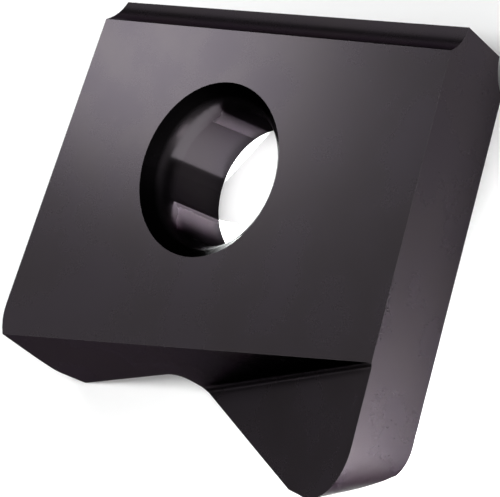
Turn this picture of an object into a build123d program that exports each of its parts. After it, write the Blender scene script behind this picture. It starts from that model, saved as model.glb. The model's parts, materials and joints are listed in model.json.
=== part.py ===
"""Carbide insert: one pressed and ground plate with a countersunk screw bore.

Millimetres. The plate lies on its seat face, z = 0, and its working face is up.
The origin is where the bore's axis meets the seat face. +Y runs from the bore to
the grooved top edge, and +X to the long side that ends in the cutting nose.
"""

import os
from math import cos, radians, sin, tan

from build123d import *

# Plate
thickness = 3.18
bore_d = 4.5
countersink_d = 5.74
countersink_angle = 90.0
countersink_blend = 1.08

# Side walls: each wall's outward normal, in degrees from +X in the plate
side_normal_angle = -1.5
top_normal_angle = 90.0
left_normal_angle = 171.6
foot_normal_angle = -106.3
end_normal_angle = -97.5

# Distance of each side wall from the bore's axis, at the working face
side_distance = 8.82
top_distance = 5.50
left_distance = 6.47
foot_distance = 8.20
end_distance = 9.46

# Clearance angle by which each side wall leans in towards the seat
side_clearance_angle = 6.3
top_clearance_angle = 12.3
left_clearance_angle = 8.4
foot_clearance_angle = 4.1
end_clearance_angle = 24.5

# Corner radii at the working face and at the seat face
nose_r = 1.95
nose_seat_r = 1.32
foot_r = 1.73
foot_seat_r = 0.25

# Grooves along the top edge: radius, distance of the groove's axis outside the
# face it is ground into, and the line where it leaves that face
groove_r = 1.21
groove_stand_off = 0.56
groove_line_y = 4.55
groove_skew_angle = -0.76
seat_groove_r = 1.58
seat_groove_stand_off = 0.95
seat_groove_line_y = 3.81

# Gash below the bore: its wall, which leans out with depth, and the rake face
# that climbs from the root to the side edge
gash_normal_angle = -89.6
gash_distance = 5.81
gash_clearance_angle = -12.4
gash_root_r = 0.20
rake_angle = 16.7
rake_edge_drop = 0.063

# Notch between the foot and the nose: a wall under the foot and one beside the nose
notch_foot_normal_angle = -80.5
notch_foot_distance = 6.75
notch_foot_clearance_angle = 22.6
notch_nose_normal_angle = -118.5
notch_nose_distance = 5.99
notch_nose_clearance_angle = 0.0
notch_r = 1.20

# Second clearance, ground under the nose
second_normal_angle = -106.1
second_distance = 8.685
second_clearance_angle = 39.0

# The walls as normal, distance and clearance
side_wall = (side_normal_angle, side_distance, side_clearance_angle)
top_wall = (top_normal_angle, top_distance, top_clearance_angle)
left_wall = (left_normal_angle, left_distance, left_clearance_angle)
foot_wall = (foot_normal_angle, foot_distance, foot_clearance_angle)
end_wall = (end_normal_angle, end_distance, end_clearance_angle)
gash_wall = (gash_normal_angle, gash_distance, gash_clearance_angle)
notch_foot_wall = (notch_foot_normal_angle, notch_foot_distance, notch_foot_clearance_angle)
notch_nose_wall = (notch_nose_normal_angle, notch_nose_distance, notch_nose_clearance_angle)
second_wall = (second_normal_angle, second_distance, second_clearance_angle)

# Any cutter block reaches past the plate on every side
reach = 4.0 * end_distance


def wall_plane(wall):
    """Plane of a side wall, its normal pointing out of the plate."""
    angle, distance, clearance = wall
    out_x = cos(radians(angle))
    out_y = sin(radians(angle))
    return Plane(
        origin=(distance * out_x, distance * out_y, thickness),
        x_dir=(-out_y, out_x, 0),
        z_dir=(out_x, out_y, -tan(radians(clearance))),
    )


def wall_line(wall, depth):
    """The wall at a depth below the working face: its normal and its distance."""
    angle, distance, clearance = wall
    normal = (cos(radians(angle)), sin(radians(angle)))
    return normal, distance - depth * tan(radians(clearance))


def corner(wall_a, wall_b, depth):
    """Where two side walls meet at a depth below the working face."""
    (ax, ay), a = wall_line(wall_a, depth)
    (bx, by), b = wall_line(wall_b, depth)
    det = ax * by - ay * bx
    return ((a * by - b * ay) / det, (b * ax - a * bx) / det)


def on_wall(wall, x, depth):
    """The point of a side wall at a given x and a depth below the working face."""
    (nx, ny), a = wall_line(wall, depth)
    return (x, (a - nx * x) / ny)


def outline(depth):
    """The sharp outline before the notch is cut, which removes its closing run."""
    apex_x = corner(notch_foot_wall, notch_nose_wall, depth)[0]
    return [
        corner(side_wall, end_wall, depth),
        corner(side_wall, top_wall, depth),
        corner(top_wall, left_wall, depth),
        corner(left_wall, foot_wall, depth),
        on_wall(foot_wall, apex_x - notch_r, depth),
        on_wall(end_wall, apex_x + notch_r, depth),
    ]


# Rake face: falls away from the side edge, starting just below the working face
side_plane = wall_plane(side_wall)
side_x = cos(radians(side_normal_angle))
side_y = sin(radians(side_normal_angle))
rake_plane = Plane(
    origin=(side_distance * side_x, side_distance * side_y, thickness - rake_edge_drop),
    x_dir=(-side_y, side_x, 0),
    z_dir=(-side_x * tan(radians(rake_angle)), -side_y * tan(radians(rake_angle)), 1),
)
gash_plane = wall_plane(gash_wall)
notch_foot_plane = wall_plane(notch_foot_wall)
notch_nose_plane = wall_plane(notch_nose_wall)
second_clearance_plane = wall_plane(second_wall)

# Gash cutter: outside the gash wall, above the rake face, rounded at the root
with BuildPart() as gash:
    Box(reach, reach, reach)
    split(bisect_by=gash_plane, keep=Keep.TOP)
    split(bisect_by=rake_plane, keep=Keep.TOP)
    root = gash_plane.intersect(rake_plane)
    fillet(gash.edges().filter_by(root), radius=gash_root_r)

# Notch cutter: a wedge between its two walls with a wide rounded root
with BuildPart() as notch:
    Box(reach, reach, reach)
    split(bisect_by=notch_foot_plane, keep=Keep.TOP)
    split(bisect_by=notch_nose_plane, keep=Keep.TOP)
    apex = notch_foot_plane.intersect(notch_nose_plane)
    fillet(notch.edges().filter_by(apex), radius=notch_r)

# Cutter for the second clearance: under the nose only, up to the notch
with BuildPart() as under_nose:
    Box(reach, reach, reach)
    split(bisect_by=second_clearance_plane, keep=Keep.TOP)
    split(bisect_by=notch_nose_plane, keep=Keep.BOTTOM)

with BuildPart() as insert:
    # Pressed plate: every side wall leans in towards the seat by its clearance
    with BuildSketch(Plane.XY) as seat_outline:
        with BuildLine():
            Polyline(*outline(thickness), close=True)
        make_face()
        fillet(
            seat_outline.vertices().sort_by_distance((*outline(thickness)[0], 0))[0],
            radius=nose_seat_r,
        )
        fillet(
            seat_outline.vertices().sort_by_distance((*outline(thickness)[3], 0))[0],
            radius=foot_seat_r,
        )
    with BuildSketch(Plane.XY.offset(thickness)) as face_outline:
        with BuildLine():
            Polyline(*outline(0), close=True)
        make_face()
        fillet(
            face_outline.vertices().sort_by_distance((*outline(0)[0], 0))[0],
            radius=nose_r,
        )
        fillet(
            face_outline.vertices().sort_by_distance((*outline(0)[3], 0))[0],
            radius=foot_r,
        )
    loft(ruled=True)

    # Long groove in the working face, along the top edge
    groove_y = groove_line_y + (groove_r**2 - groove_stand_off**2) ** 0.5
    groove_plane = Plane(
        origin=(0, groove_y, thickness + groove_stand_off),
        x_dir=(-sin(radians(groove_skew_angle)), cos(radians(groove_skew_angle)), 0),
        z_dir=(cos(radians(groove_skew_angle)), sin(radians(groove_skew_angle)), 0),
    )
    with BuildSketch(groove_plane):
        Circle(groove_r)
    extrude(amount=reach, both=True, mode=Mode.SUBTRACT)

    # Relieving groove in the seat face, under the same edge
    seat_groove_y = seat_groove_line_y + (seat_groove_r**2 - seat_groove_stand_off**2) ** 0.5
    with BuildSketch(Plane.YZ):
        with Locations((seat_groove_y, -seat_groove_stand_off)):
            Circle(seat_groove_r)
    extrude(amount=reach, both=True, mode=Mode.SUBTRACT)

    # Ground gash with the rake face, then the notch and the nose's second clearance
    add(gash.part, mode=Mode.SUBTRACT)
    add(notch.part, mode=Mode.SUBTRACT)
    add(under_nose.part, mode=Mode.SUBTRACT)

    # Screw bore with a conical seat that rolls over into the bore
    with Locations((0, 0, thickness)):
        CounterSinkHole(
            radius=bore_d / 2,
            counter_sink_radius=countersink_d / 2,
            counter_sink_angle=countersink_angle,
        )
    cone_half = radians(countersink_angle / 2)
    cone_width = (countersink_d - bore_d) / 2
    seat_edge = insert.edges().filter_by(GeomType.CIRCLE).sort_by_distance(
        (bore_d / 2, 0, thickness - cone_width / tan(cone_half))
    )[0]
    # A narrow seat takes a smaller blend, so that part of the cone always stays
    blend_limit = 0.8 * cone_width / sin(cone_half) / tan(cone_half / 2)
    fillet(seat_edge, radius=min(countersink_blend, blend_limit))

insert.part.label = "insert"

os.makedirs("parts", exist_ok=True)
export_step(insert.part, "parts/insert.step")
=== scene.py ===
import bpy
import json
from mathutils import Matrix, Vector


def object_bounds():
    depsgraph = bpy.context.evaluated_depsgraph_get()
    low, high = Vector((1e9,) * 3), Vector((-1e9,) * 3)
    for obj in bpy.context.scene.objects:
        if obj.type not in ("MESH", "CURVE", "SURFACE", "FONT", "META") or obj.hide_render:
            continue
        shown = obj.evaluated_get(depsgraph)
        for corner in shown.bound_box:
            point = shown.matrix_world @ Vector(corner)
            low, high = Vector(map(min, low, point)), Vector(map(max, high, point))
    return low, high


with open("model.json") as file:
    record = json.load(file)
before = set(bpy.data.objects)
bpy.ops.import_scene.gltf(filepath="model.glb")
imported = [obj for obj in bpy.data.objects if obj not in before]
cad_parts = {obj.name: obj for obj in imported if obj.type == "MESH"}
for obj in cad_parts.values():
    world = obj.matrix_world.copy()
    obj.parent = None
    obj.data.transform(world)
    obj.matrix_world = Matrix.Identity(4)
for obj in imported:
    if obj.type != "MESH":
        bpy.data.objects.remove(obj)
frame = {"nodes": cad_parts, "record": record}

CAD_BOX = [list(corner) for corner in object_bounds()]

import json

import bpy
from bpy.props import FloatProperty, FloatVectorProperty, PointerProperty
from mathutils import Matrix, Vector

bl_info = {
    "name": "Carbide insert",
    "version": (1, 0, 0),
    "blender": (4, 5, 0),
    "location": "View3D > Sidebar > Insert",
    "description": "Dresses a coated carbide insert and sets it on a plain studio floor",
    "category": "Object",
}

INSERT = frame["nodes"]["insert"]

# Metres. The screw hole's axis is Z, and the seat face lies on the floor
FACE_HEIGHT = CAD_BOX[1][2]
SCREW_BORE = next(mount for mount in frame["record"]["mounts"] if mount["name"] == "screw_bore")
HOLE_RADIUS = SCREW_BORE["dims"]["r_mm"] * 0.001
SINK_RADIUS = 0.00287
FLOOR_SIZE = 1.6

# Camera: the axes of its view, how far the middle of the view lies to the right of
# the hole and above it, and the width of the view over the insert
VIEW_RIGHT = Vector((0.737, 0.225, -0.638))
VIEW_UP = Vector((-0.061, 0.961, 0.269))
VIEW_SHIFT = (0.001293, -0.002487)
IMAGE_WIDTH_PX = 500
PX_PER_METRE = 31700.0

# Lamps
PLAIN_WHITE = (1.0, 1.0, 1.0)
COOL_WHITE = (0.96, 1.0, 0.99)
NEAR_DISTANCE = 0.022
CARD_GAP = 0.00035

# Brightness of the studio's walls by the height of the sight line, and the direction
# of their lighter corner
WALL_GREYS = ((0.016, 1.0), (0.030, 0.07), (0.25, 0.05), (0.55, 0.07), (0.85, 0.10))
LIGHTER_CORNER = Vector((0.70, -0.52, 0.49)).normalized()


class InsertCoatingSettings(bpy.types.PropertyGroup):
    """Finish of the hard coating on the carbide."""

    coat_color: FloatVectorProperty(
        name="Coating colour",
        description="Reflecting colour of the dark hard coating",
        default=(0.0500, 0.0432, 0.0480),
        size=3,
        min=0.0,
        max=1.0,
        subtype="COLOR",
    )
    violet_color: FloatVectorProperty(
        name="Violet shade",
        description="Colour of the patches where the coating is a little thicker",
        default=(0.0488, 0.0420, 0.0488),
        size=3,
        min=0.0,
        max=1.0,
        subtype="COLOR",
    )
    # Painted shade: the near-black colour laid on the gash's root, its walled-in flank, the countersink
    # and the screw hole's wall
    painted_shade_color: FloatVectorProperty(
        name="Recess colour",
        description="Colour in corners that the coating hardly reaches",
        default=(0.0008, 0.0007, 0.0008),
        size=3,
        min=0.0,
        max=1.0,
        subtype="COLOR",
    )
    worn_color: FloatVectorProperty(
        name="Worn edge colour",
        description="Colour where the coating is thin on the honed edges",
        default=(0.085, 0.080, 0.083),
        size=3,
        min=0.0,
        max=1.0,
        subtype="COLOR",
    )
    edge_tint: FloatProperty(
        name="Grazing tint",
        description="How much the coating reflects at grazing angles",
        default=0.35,
        min=0.0,
        max=1.0,
        subtype="FACTOR",
    )
    roughness: FloatProperty(
        name="Roughness",
        description="Mean roughness of the coated surface",
        default=0.26,
        min=0.0,
        max=1.0,
        subtype="FACTOR",
    )
    grain_size: FloatProperty(
        name="Grain size",
        description="Size of the sintered grain that shows through the coating",
        default=0.00006,
        min=0.00001,
        max=0.001,
        unit="LENGTH",
        subtype="DISTANCE",
    )
    lay_pitch: FloatProperty(
        name="Grinding pitch",
        description="Spacing of the fine lines that grinding leaves",
        default=0.00005,
        min=0.00001,
        max=0.001,
        unit="LENGTH",
        subtype="DISTANCE",
    )
    hone_radius: FloatProperty(
        name="Edge hone",
        description="Radius of the honed edges under the coating",
        default=0.00004,
        min=0.0,
        max=0.0005,
        unit="LENGTH",
        subtype="DISTANCE",
    )
    # Reach and depth of the painted shade on the gash's root and its walled-in flank
    corner_shade_reach: FloatProperty(
        name="Corner reach",
        description="How far from the root of an inner corner the coating stays thin",
        default=0.0004,
        min=0.0,
        max=0.01,
        unit="LENGTH",
        subtype="DISTANCE",
    )
    flank_shade_reach: FloatProperty(
        name="Recess reach",
        description="How far up a walled-in flank the coating stays thin",
        default=0.0045,
        min=0.0,
        max=0.01,
        unit="LENGTH",
        subtype="DISTANCE",
    )
    flank_shade_depth: FloatProperty(
        name="Recess depth",
        description="How quickly the coating thins in a walled-in flank",
        default=1.7,
        min=0.0,
        max=4.0,
    )
    # Shares of the painted shade in the countersink and on the screw hole's wall
    sink_shade: FloatProperty(
        name="Countersink shade",
        description="Share of the recess colour in the countersink",
        default=0.92,
        min=0.0,
        max=1.0,
        subtype="FACTOR",
    )
    bore_shade: FloatProperty(
        name="Hole shade",
        description="Share of the recess colour on the wall of the screw hole",
        default=0.6,
        min=0.0,
        max=1.0,
        subtype="FACTOR",
    )
    bore_tint: FloatProperty(
        name="Hole grazing tint",
        description="How much the wall of the screw hole reflects at grazing angles",
        default=0.1,
        min=0.0,
        max=1.0,
        subtype="FACTOR",
    )
    bore_roughness: FloatProperty(
        name="Hole roughness",
        description="Roughness that the wall of the screw hole has beyond the rest",
        default=0.14,
        min=0.0,
        max=0.5,
        subtype="FACTOR",
    )
    wear_share: FloatProperty(
        name="Edge wear",
        description="Share of the worn colour on the honed edges",
        default=0.5,
        min=0.0,
        max=1.0,
        subtype="FACTOR",
    )
    fleck_share: FloatProperty(
        name="Flecks",
        description="Share of the worn colour on the highest grains",
        default=0.10,
        min=0.0,
        max=1.0,
        subtype="FACTOR",
    )
    relief: FloatProperty(
        name="Relief",
        description="Height of the grain and the grinding lines",
        default=0.0000012,
        min=0.0,
        max=0.0001,
        unit="LENGTH",
        subtype="DISTANCE",
    )


class InsertStudioSettings(bpy.types.PropertyGroup):
    """Floor, lamps and camera."""

    floor_color: FloatVectorProperty(
        name="Floor colour",
        description="Colour of the plain studio floor",
        default=(0.97, 0.97, 0.97),
        size=3,
        min=0.0,
        max=1.0,
        subtype="COLOR",
    )
    overhead_power: FloatProperty(
        name="Overhead softbox",
        description="Power of the softbox over the floor",
        default=1.0,
        min=0.0,
        unit="POWER",
    )
    side_power: FloatProperty(
        name="Side softboxes",
        description="Power of each softbox beside the floor",
        default=0.26,
        min=0.0,
        unit="POWER",
    )
    key_power: FloatProperty(
        name="Near softboxes",
        description="Power of all the small softboxes beside the grooved edge",
        default=0.00134,
        min=0.0,
        unit="POWER",
    )
    back_power: FloatProperty(
        name="Back softbox",
        description="Power of the softbox behind the chip groove",
        default=0.17,
        min=0.0,
        unit="POWER",
    )
    nose_power: FloatProperty(
        name="Nose lamps",
        description="Power of each small lamp on the floor by the nose",
        default=0.00115,
        min=0.0,
        unit="POWER",
    )
    hole_glow: FloatProperty(
        name="Hole cards",
        description="Power of each lit card that stands in the screw hole",
        default=0.00012,
        min=0.0,
        unit="POWER",
    )
    hole_floor_power: FloatProperty(
        name="Hole lamp",
        description="Power of the small lamp that lights the floor in the screw hole",
        default=0.000034,
        min=0.0,
        unit="POWER",
    )
    camera_distance: FloatProperty(
        name="Camera distance",
        description="Distance from the camera to the middle of its view",
        default=0.7,
        min=0.1,
        unit="LENGTH",
        subtype="DISTANCE",
    )


def new_group(name, inputs, outputs):
    """A shader node group with float sockets, given as (name, default) and names."""
    tree = bpy.data.node_groups.new(name, "ShaderNodeTree")
    for label, default in inputs:
        socket = tree.interface.new_socket(label, in_out="INPUT", socket_type="NodeSocketFloat")
        socket.default_value = default
    for label in outputs:
        tree.interface.new_socket(label, in_out="OUTPUT", socket_type="NodeSocketFloat")
    return tree, tree.nodes.new("NodeGroupInput"), tree.nodes.new("NodeGroupOutput")


def math_node(tree, operation, a, b=None, clamp=False):
    """A math node fed by sockets or plain numbers."""
    node = tree.nodes.new("ShaderNodeMath")
    node.operation = operation
    node.use_clamp = clamp
    for socket, value in zip(node.inputs, (a, b)):
        if value is None:
            continue
        if isinstance(value, (int, float)):
            socket.default_value = value
        else:
            tree.links.new(value, socket)
    return node.outputs[0]


def smooth_range(tree, value, low, high, to_low=0.0, to_high=1.0):
    """Eases a value from one range into another, held at its ends."""
    node = tree.nodes.new("ShaderNodeMapRange")
    node.interpolation_type = "SMOOTHSTEP"
    node.inputs["From Min"].default_value = low
    node.inputs["From Max"].default_value = high
    node.inputs["To Min"].default_value = to_low
    node.inputs["To Max"].default_value = to_high
    tree.links.new(value, node.inputs["Value"])
    return node.outputs["Result"]


def noise_value(tree, coordinates, scale, detail):
    """Fractal noise at a number of cells to the metre."""
    node = tree.nodes.new("ShaderNodeTexNoise")
    node.inputs["Detail"].default_value = detail
    tree.links.new(coordinates, node.inputs["Vector"])
    if isinstance(scale, (int, float)):
        node.inputs["Scale"].default_value = scale
    else:
        tree.links.new(scale, node.inputs["Scale"])
    return node.outputs["Fac"]


def stretched(tree, coordinates, factors):
    """Coordinates scaled along each axis, which draws noise out into lines."""
    node = tree.nodes.new("ShaderNodeVectorMath")
    node.operation = "MULTIPLY"
    tree.links.new(coordinates, node.inputs[0])
    node.inputs[1].default_value = factors
    return node.outputs[0]


def surface_normal(tree):
    """The surface's own normal, split into its axes."""
    normal = tree.nodes.new("ShaderNodeSeparateXYZ")
    tree.links.new(tree.nodes.new("ShaderNodeNewGeometry").outputs["Normal"], normal.inputs[0])
    return normal.outputs


def sintered_grain_group():
    """Fine pebbled height of sintered powder under a thin coating."""
    tree, inlet, outlet = new_group("sintered_grain", [("Size", 0.00006)], ["Height", "Fleck"])
    where = tree.nodes.new("ShaderNodeTexCoord").outputs["Object"]
    per_metre = math_node(tree, "DIVIDE", 1.0, inlet.outputs["Size"])
    cells = tree.nodes.new("ShaderNodeTexVoronoi")
    cells.feature = "SMOOTH_F1"
    tree.links.new(where, cells.inputs["Vector"])
    tree.links.new(per_metre, cells.inputs["Scale"])
    pebbles = math_node(tree, "SUBTRACT", 1.0, cells.outputs["Distance"])
    powder = noise_value(tree, where, per_metre, 3.0)
    height = math_node(tree, "MULTIPLY", math_node(tree, "ADD", pebbles, powder), 0.5)
    tree.links.new(height, outlet.inputs["Height"])
    tree.links.new(smooth_range(tree, powder, 0.62, 0.80), outlet.inputs["Fleck"])
    return tree


def ground_lay_group():
    """Height of grinding lines: along the long way of the face, and level round the walls."""
    tree, inlet, outlet = new_group("ground_lay", [("Pitch", 0.00005)], ["Height"])
    where = tree.nodes.new("ShaderNodeTexCoord").outputs["Object"]
    per_metre = math_node(tree, "DIVIDE", 1.0, inlet.outputs["Pitch"])
    face = noise_value(tree, stretched(tree, where, (0.02, 1.0, 0.2)), per_metre, 2.0)
    wall = noise_value(tree, stretched(tree, where, (0.02, 0.02, 1.0)), per_metre, 2.0)
    level = smooth_range(tree, math_node(tree, "ABSOLUTE", surface_normal(tree)["Z"]), 0.45, 0.75)
    mix = tree.nodes.new("ShaderNodeMix")
    tree.links.new(level, mix.inputs["Factor"])
    tree.links.new(wall, mix.inputs["A"])
    tree.links.new(face, mix.inputs["B"])
    tree.links.new(mix.outputs["Result"], outlet.inputs["Height"])
    return tree


def edge_wear_group():
    """Mask of the honed edges, broken up where the coating still holds."""
    tree, inlet, outlet = new_group("edge_wear", [("Hone", 0.00004), ("Break up", 2500.0)], ["Mask"])
    where = tree.nodes.new("ShaderNodeTexCoord").outputs["Object"]
    hone = tree.nodes.new("ShaderNodeBevel")
    hone.samples = 6
    tree.links.new(inlet.outputs["Hone"], hone.inputs["Radius"])
    facing = tree.nodes.new("ShaderNodeVectorMath")
    facing.operation = "DOT_PRODUCT"
    tree.links.new(hone.outputs["Normal"], facing.inputs[0])
    tree.links.new(tree.nodes.new("ShaderNodeNewGeometry").outputs["Normal"], facing.inputs[1])
    turned = math_node(tree, "SUBTRACT", 1.0, facing.outputs["Value"])
    edge = smooth_range(tree, turned, 0.01, 0.12)
    clouds = noise_value(tree, where, inlet.outputs["Break up"], 3.0)
    patches = smooth_range(tree, clouds, 0.35, 0.65, 0.35, 1.0)
    tree.links.new(math_node(tree, "MULTIPLY", edge, patches, clamp=True), outlet.inputs["Mask"])
    return tree


def recess_shade_group():
    """Mask of inner corners from ambient occlusion, for painted shade where the surface is walled in."""
    tree, inlet, outlet = new_group("recess_shade", [("Reach", 0.0012), ("Depth", 1.0)], ["Mask"])
    open_share = tree.nodes.new("ShaderNodeAmbientOcclusion")
    open_share.samples = 5
    open_share.only_local = True
    tree.links.new(inlet.outputs["Reach"], open_share.inputs["Distance"])
    closed = smooth_range(tree, open_share.outputs["AO"], 0.95, 0.68)
    mask = math_node(tree, "MULTIPLY", closed, inlet.outputs["Depth"], clamp=True)
    tree.links.new(mask, outlet.inputs["Mask"])
    return tree


def use_group(mat, tree, **values):
    """Places a node group in a material and sets its inputs."""
    node = mat.node_tree.nodes.new("ShaderNodeGroup")
    node.node_tree = tree
    for label, value in values.items():
        node.inputs[label.replace("_", " ")].default_value = value
    return node


def mix_color(tree, factor, a, b):
    """Mixes two colours, each a socket or three plain numbers."""
    node = tree.nodes.new("ShaderNodeMix")
    node.data_type = "RGBA"
    tree.links.new(factor, node.inputs["Factor"])
    for socket, value in ((node.inputs[6], a), (node.inputs[7], b)):
        if isinstance(value, bpy.types.NodeSocket):
            tree.links.new(value, socket)
        else:
            socket.default_value = (*value, 1)
    return node.outputs[2]


def axis_distance(tree, where):
    """Distance from the screw hole's axis."""
    across = tree.nodes.new("ShaderNodeVectorMath")
    across.operation = "LENGTH"
    tree.links.new(stretched(tree, where, (1.0, 1.0, 0.0)), across.inputs[0])
    return across.outputs["Value"]


def painted_shade_mask(mat, settings, radius):
    """Mask of painted shade on the gash's root and its leaning wall, left off in and round the screw
    hole.
    """
    tree = mat.node_tree
    recess_shade = recess_shade_group()
    corner = use_group(mat, recess_shade, Reach=settings.corner_shade_reach)
    flank = use_group(mat, recess_shade, Reach=settings.flank_shade_reach, Depth=settings.flank_shade_depth)
    steep = smooth_range(tree, surface_normal(tree)["Z"], 0.95, 0.70)
    flank_mask = math_node(tree, "MULTIPLY", flank.outputs["Mask"], steep)
    either = math_node(tree, "MAXIMUM", corner.outputs["Mask"], flank_mask)
    outside = smooth_range(tree, radius, HOLE_RADIUS + 0.00030, SINK_RADIUS)
    return math_node(tree, "MULTIPLY", either, outside)


def sink_mask(tree, radius):
    """Mask of the countersink's cone, from its roll-over to its rim, where painted shade darkens it."""
    inner = smooth_range(tree, radius, HOLE_RADIUS + 0.00012, HOLE_RADIUS + 0.00032)
    outer = smooth_range(tree, radius, SINK_RADIUS + 0.00001, SINK_RADIUS - 0.00002)
    return math_node(tree, "MULTIPLY", inner, outer)


def bore_mask(tree, radius):
    """Mask of the screw hole's wall, fading out in its roll-over."""
    return smooth_range(tree, radius, HOLE_RADIUS + 0.00028, HOLE_RADIUS + 0.00006)


def coated_carbide(settings):
    """Dark satin hard coating over ground and sintered carbide."""
    mat = bpy.data.materials.new("coated_carbide")
    mat.use_nodes = True
    tree = mat.node_tree
    links = tree.links
    bsdf = tree.nodes["Principled BSDF"]
    bsdf.inputs["Metallic"].default_value = 1.0

    grain = use_group(mat, sintered_grain_group(), Size=settings.grain_size)
    lay = use_group(mat, ground_lay_group(), Pitch=settings.lay_pitch)
    wear = use_group(mat, edge_wear_group(), Hone=settings.hone_radius)
    where = tree.nodes.new("ShaderNodeTexCoord").outputs["Object"]
    clouds = noise_value(tree, where, 420.0, 4.0)
    radius = axis_distance(tree, where)
    bore = bore_mask(tree, radius)

    # Colour: faint patches, painted shade in the recesses, the countersink and the hole, worn edges
    patches = smooth_range(tree, clouds, 0.35, 0.65)
    color = mix_color(tree, patches, settings.coat_color, settings.violet_color)
    for mask, share, shade in (
        (painted_shade_mask(mat, settings, radius), 1.0, settings.painted_shade_color),
        # painted shade in the countersink and on the screw hole's wall
        (sink_mask(tree, radius), settings.sink_shade, settings.painted_shade_color),
        (bore, settings.bore_shade, settings.painted_shade_color),
        (wear.outputs["Mask"], settings.wear_share, settings.worn_color),
        (grain.outputs["Fleck"], settings.fleck_share, settings.worn_color),
    ):
        color = mix_color(tree, math_node(tree, "MULTIPLY", mask, share), color, shade)
    links.new(color, bsdf.inputs["Base Color"])
    tint = mix_color(tree, bore, (settings.edge_tint,) * 3, (settings.bore_tint,) * 3)
    links.new(tint, bsdf.inputs["Specular Tint"])

    # Roughness: a little more on the grain, the worn edges and the hole's wall
    rough = smooth_range(tree, clouds, 0.3, 0.7, settings.roughness - 0.015, settings.roughness + 0.015)
    for mask, added in (
        (grain.outputs["Height"], 0.02),
        (wear.outputs["Mask"], 0.06),
        (bore, settings.bore_roughness),
    ):
        rough = math_node(tree, "ADD", rough, math_node(tree, "MULTIPLY", mask, added))
    links.new(rough, bsdf.inputs["Roughness"])

    # Relief of the grain under the grinding lines
    grain_height = math_node(tree, "MULTIPLY", grain.outputs["Height"], 0.6)
    lay_height = math_node(tree, "MULTIPLY", lay.outputs["Height"], 0.4)
    bump = tree.nodes.new("ShaderNodeBump")
    bump.inputs["Strength"].default_value = 0.5
    bump.inputs["Distance"].default_value = settings.relief
    links.new(math_node(tree, "ADD", grain_height, lay_height), bump.inputs["Height"])
    links.new(bump.outputs["Normal"], bsdf.inputs["Normal"])
    return mat


class OBJECT_OT_insert_coating(bpy.types.Operator):
    """Give the carbide plate its hard coating"""

    bl_idname = "object.insert_coating"
    bl_label = "Coat the insert"

    def execute(self, context):
        INSERT.data.materials.clear()
        INSERT.data.materials.append(coated_carbide(context.scene.insert_coating))
        return {"FINISHED"}


def view_axes():
    """The camera's right, up and back, square to each other."""
    right = VIEW_RIGHT.normalized()
    up = (VIEW_UP - VIEW_UP.dot(right) * right).normalized()
    return right, up, right.cross(up)


def softbox(name, place, aim, size, power, color=PLAIN_WHITE):
    """A rectangular soft lamp at a place, turned to shine on a point."""
    data = bpy.data.lights.new(name, "AREA")
    data.shape = "RECTANGLE"
    data.size, data.size_y = size
    data.energy = power
    data.color = color
    lamp = bpy.data.objects.new(name, data)
    bpy.context.scene.collection.objects.link(lamp)
    lamp.location = place
    lamp.rotation_mode = "QUATERNION"
    lamp.rotation_quaternion = (Vector(aim) - Vector(place)).to_track_quat("-Z", "Y")
    lamp.visible_camera = False


def studio_world(scene):
    """Pale horizon, dim walls and one lighter corner."""
    world = bpy.data.worlds.new("studio")
    scene.world = world
    world.use_nodes = True
    tree = world.node_tree
    nodes = tree.nodes
    links = tree.links
    where = nodes.new("ShaderNodeTexCoord").outputs["Generated"]
    split = nodes.new("ShaderNodeSeparateXYZ")
    ramp = nodes.new("ShaderNodeValToRGB")
    links.new(where, split.inputs[0])
    links.new(split.outputs["Z"], ramp.inputs[0])
    stops = ramp.color_ramp.elements
    for stop, (at, _) in zip(stops, WALL_GREYS):
        stop.position = at
    for at, _ in WALL_GREYS[len(stops):]:
        stops.new(at)
    for stop, (_, grey) in zip(stops, WALL_GREYS):
        stop.color = (grey, grey, grey, 1)
    corner = nodes.new("ShaderNodeVectorMath")
    corner.operation = "DOT_PRODUCT"
    links.new(where, corner.inputs[0])
    corner.inputs[1].default_value = LIGHTER_CORNER
    lighter = smooth_range(tree, corner.outputs["Value"], 0.25, 0.95, 0.0, 0.55)
    total = mix_color(tree, lighter, ramp.outputs["Color"], (1, 1, 1))
    links.new(total, nodes["Background"].inputs["Color"])
    nodes["Background"].inputs["Strength"].default_value = 1.0


def floor_softboxes(settings):
    """Large softboxes over the floor, on both sides of it and behind it."""
    for name, place, side, power in (
        ("overhead_softbox", (0, 0, 0.45), 0.20, settings.overhead_power),
        ("left_softbox", (-0.4, 0, 0.25), 0.20, settings.side_power),
        ("right_softbox", (0.2, 0, 0.42), 0.20, settings.side_power),
        ("back_softbox", (-0.25, 0.22, 0.22), 0.25, settings.back_power),
    ):
        softbox(name, place, (0, 0, 0), (side, side), power)


def near_softboxes(settings):
    """Small softboxes that the camera sees mirrored in the face, beside the hole."""
    back = view_axes()[2]
    toward = Vector((-back.x, -back.y, back.z))
    spots = (((-0.0035, 0.0040), 0.42), ((-0.0020, 0.0055), 0.40), ((-0.0055, 0.0040), 0.18))
    for n, (spot, share) in enumerate(spots, 1):
        aim = Vector((*spot, FACE_HEIGHT))
        place = aim + toward * NEAR_DISTANCE
        softbox(f"near_softbox_{n}", place, aim, (0.008, 0.008), settings.key_power * share, COOL_WHITE)


def nose_lamps(settings):
    """Small lamps in a row beside the nose, low over the floor."""
    for n, (place, aim, share) in enumerate(
        (
            ((0.0120, -0.0130, 0.0060), (0.0080, -0.0100, 0), 1.1),
            ((0.0135, -0.0125, 0.0035), (0.0100, -0.0085, 0), 1.0),
            ((0.0130, -0.0100, 0.0025), (0.0095, -0.0075, 0), 0.7),
        ),
        1,
    ):
        softbox(f"nose_lamp_{n}", place, aim, (0.003, 0.003), settings.nose_power * share)


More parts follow.
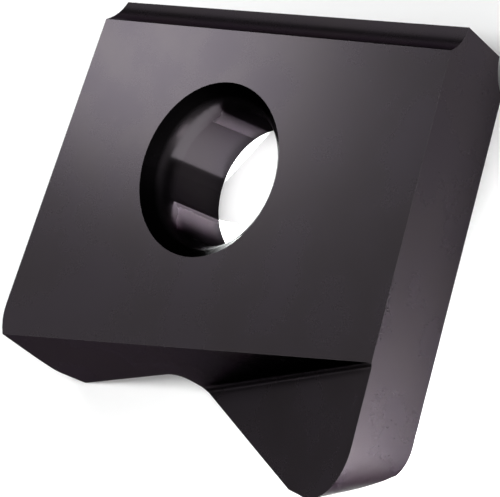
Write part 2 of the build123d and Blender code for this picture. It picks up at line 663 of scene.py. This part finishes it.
def hole_lamps(settings):
    """Lit cards close to the screw hole's wall, and a lamp over the floor in the hole."""
    upper = Vector((-0.772, 0.636, 0))
    upper_place = upper * (HOLE_RADIUS - CARD_GAP) + Vector((0, 0, 0.0013))
    lower = Vector((-0.10, -0.99, 0))
    lower_place = Vector((-0.00172, -0.00093, 0.0011))
    for n, (place, facing, size, share) in enumerate(
        (
            (upper_place, upper, (0.0020, 0.00255), 1.0),
            (upper_place, upper, (0.0014, 0.00255), 0.7),
            (lower_place, lower, (0.0007, 0.0022), 0.75),
        ),
        1,
    ):
        softbox(f"hole_card_{n}", place, place + facing, size, settings.hole_glow * share, COOL_WHITE)
    softbox("hole_lamp", (0.0003, 0, 0.0016), (0.0003, 0, 0), (0.0030, 0.0024), settings.hole_floor_power)


def studio_floor(settings):
    """A wide matt floor in one pale colour."""
    bpy.ops.mesh.primitive_plane_add(size=FLOOR_SIZE)
    floor = bpy.context.object
    floor.name = "studio_floor"
    mat = bpy.data.materials.new("studio_floor")
    mat.use_nodes = True
    paper = mat.node_tree.nodes["Principled BSDF"]
    paper.inputs["Base Color"].default_value = (*settings.floor_color, 1)
    paper.inputs["Roughness"].default_value = 0.9
    paper.inputs["Specular IOR Level"].default_value = 0.0
    floor.data.materials.append(mat)


def product_camera(scene, settings):
    """A camera with a long lens that looks on the face from the side of the nose."""
    right, up, back = view_axes()
    cam = bpy.data.cameras.new("camera")
    cam.type = "PERSP"
    cam.sensor_width = 36.0
    cam.lens = cam.sensor_width * settings.camera_distance * PX_PER_METRE / IMAGE_WIDTH_PX
    cam.clip_start = 0.01
    cam.clip_end = 5.0
    camera = bpy.data.objects.new("camera", cam)
    scene.collection.objects.link(camera)
    shift_right, shift_up = VIEW_SHIFT
    target = Vector((0, 0, FACE_HEIGHT)) + right * shift_right + up * shift_up
    place = Matrix((right, up, back)).transposed().to_4x4()
    place.translation = target + back * settings.camera_distance
    camera.matrix_world = place
    scene.camera = camera


class OBJECT_OT_insert_studio(bpy.types.Operator):
    """Set out the floor, the lamps and the camera"""

    bl_idname = "object.insert_studio"
    bl_label = "Studio"

    def execute(self, context):
        scene = context.scene
        settings = scene.insert_studio
        studio_floor(settings)
        product_camera(scene, settings)
        floor_softboxes(settings)
        near_softboxes(settings)
        nose_lamps(settings)
        hole_lamps(settings)
        studio_world(scene)
        scene.view_settings.view_transform = "Standard"
        return {"FINISHED"}


class VIEW3D_PT_insert(bpy.types.Panel):
    """Insert finish and studio"""

    bl_label = "Carbide insert"
    bl_idname = "VIEW3D_PT_insert"
    bl_space_type = "VIEW_3D"
    bl_region_type = "UI"
    bl_category = "Insert"

    def draw(self, context):
        column = self.layout.column()
        column.operator("object.insert_coating")
        column.operator("object.insert_studio")


CLASSES = (
    InsertCoatingSettings,
    InsertStudioSettings,
    OBJECT_OT_insert_coating,
    OBJECT_OT_insert_studio,
    VIEW3D_PT_insert,
)


def register():
    """Adds the settings, the operators and the panel."""
    for cls in CLASSES:
        bpy.utils.register_class(cls)
    bpy.types.Scene.insert_coating = PointerProperty(type=InsertCoatingSettings)
    bpy.types.Scene.insert_studio = PointerProperty(type=InsertStudioSettings)


def unregister():
    """Takes away what register adds."""
    del bpy.types.Scene.insert_studio
    del bpy.types.Scene.insert_coating
    for cls in reversed(CLASSES):
        bpy.utils.unregister_class(cls)


def main():
    """Coats the insert and sets out the studio."""
    register()
    bpy.ops.object.insert_coating()
    bpy.ops.object.insert_studio()


if __name__ == "__main__":
    main()
